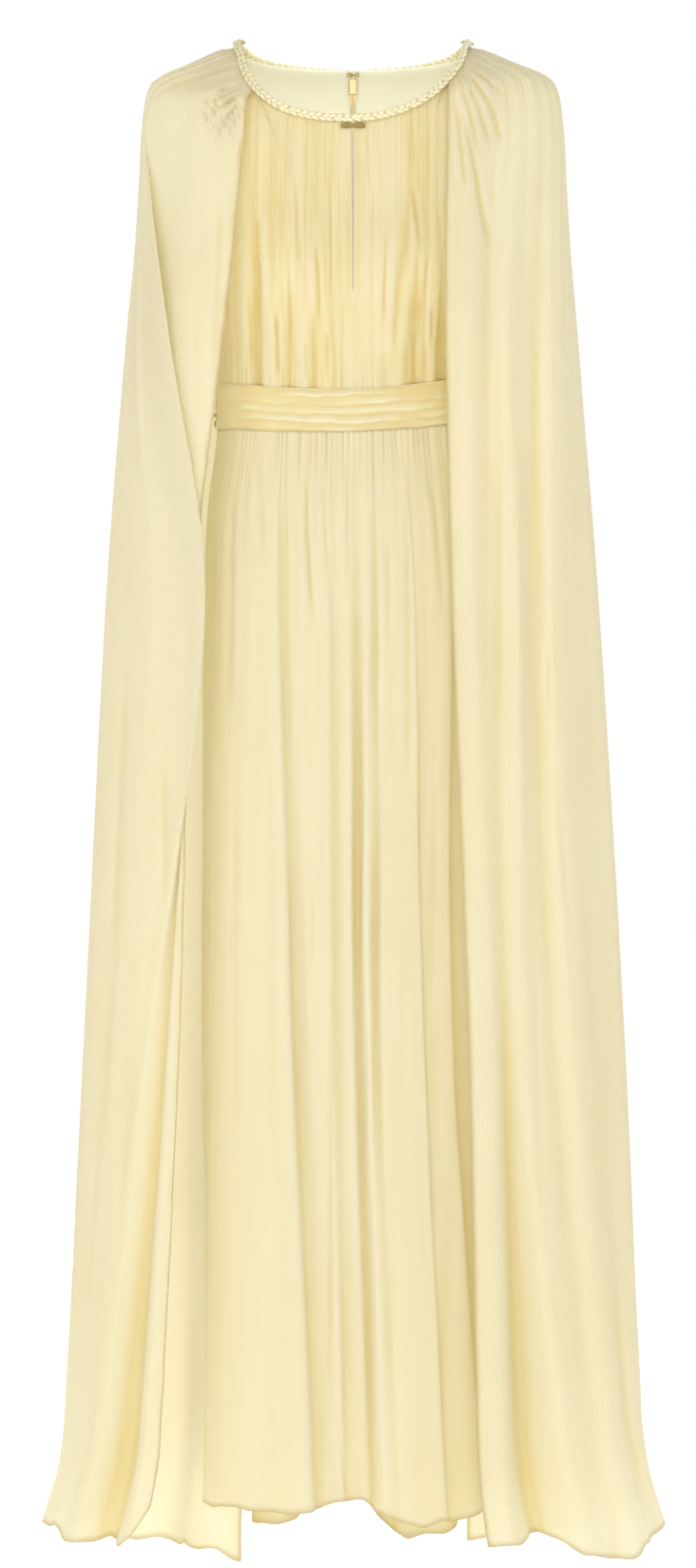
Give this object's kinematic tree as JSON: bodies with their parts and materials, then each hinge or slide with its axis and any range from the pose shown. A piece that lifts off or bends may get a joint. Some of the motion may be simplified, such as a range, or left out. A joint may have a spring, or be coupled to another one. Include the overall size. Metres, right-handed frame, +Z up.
{
  "type": "maxi dress with capes",
  "caption": "Floor-length chiffon gown with a keyhole neck, pleated waistband, gathered skirt and sheer capes hanging from a braided neckline.",
  "frame": {"origin": "between the wearer's shoulders, at the height of the neckline's sides, where the dress is held", "axes": "+Z up, the wearer faces -Y, +X towards the wearer's left"},
  "size_m": [0.6302, 0.3515, 1.5662],
  "materials": {
    "chiffon": "soft matt silk chiffon",
    "sash": "pleated silk chiffon with a slight sheen",
    "voile": "sheer matt silk chiffon",
    "lining": "smooth silk lining",
    "cord": "plaited cord",
    "nylon": "coloured nylon",
    "bronze": "antique, satin"
  },
  "bodies": {
    "dress": {"bodice_front": "chiffon", "bodice_back_left": "chiffon", "bodice_back_right": "chiffon", "back_lining_left": "lining", "back_lining_right": "lining", "waistband_front": "sash", "waistband_back_left": "sash", "waistband_back_right": "sash", "skirt_front": "chiffon", "skirt_back_left": "chiffon", "skirt_back_right": "chiffon", "cape_left": "voile", "cape_right": "voile", "neck_braid_front": "cord", "neck_braid_back_left": "cord", "neck_braid_back_right": "cord", "keyhole_bar": "bronze", "zip_tape_left": "nylon", "zip_tape_right": "nylon", "zip_chain": "nylon", "zip_slider": "nylon", "hook": "bronze", "eye": "bronze"},
    "pull": {"zip_pull": "nylon"}
  },
  "joints": [
    {"name": "zip_pull_turn", "type": "hinge", "parent": "dress", "child": "pull", "pos_m": [0, 0.05826, -0.02846], "axis": [1, 0, 0], "range_deg": [0, 150]}
  ]
}
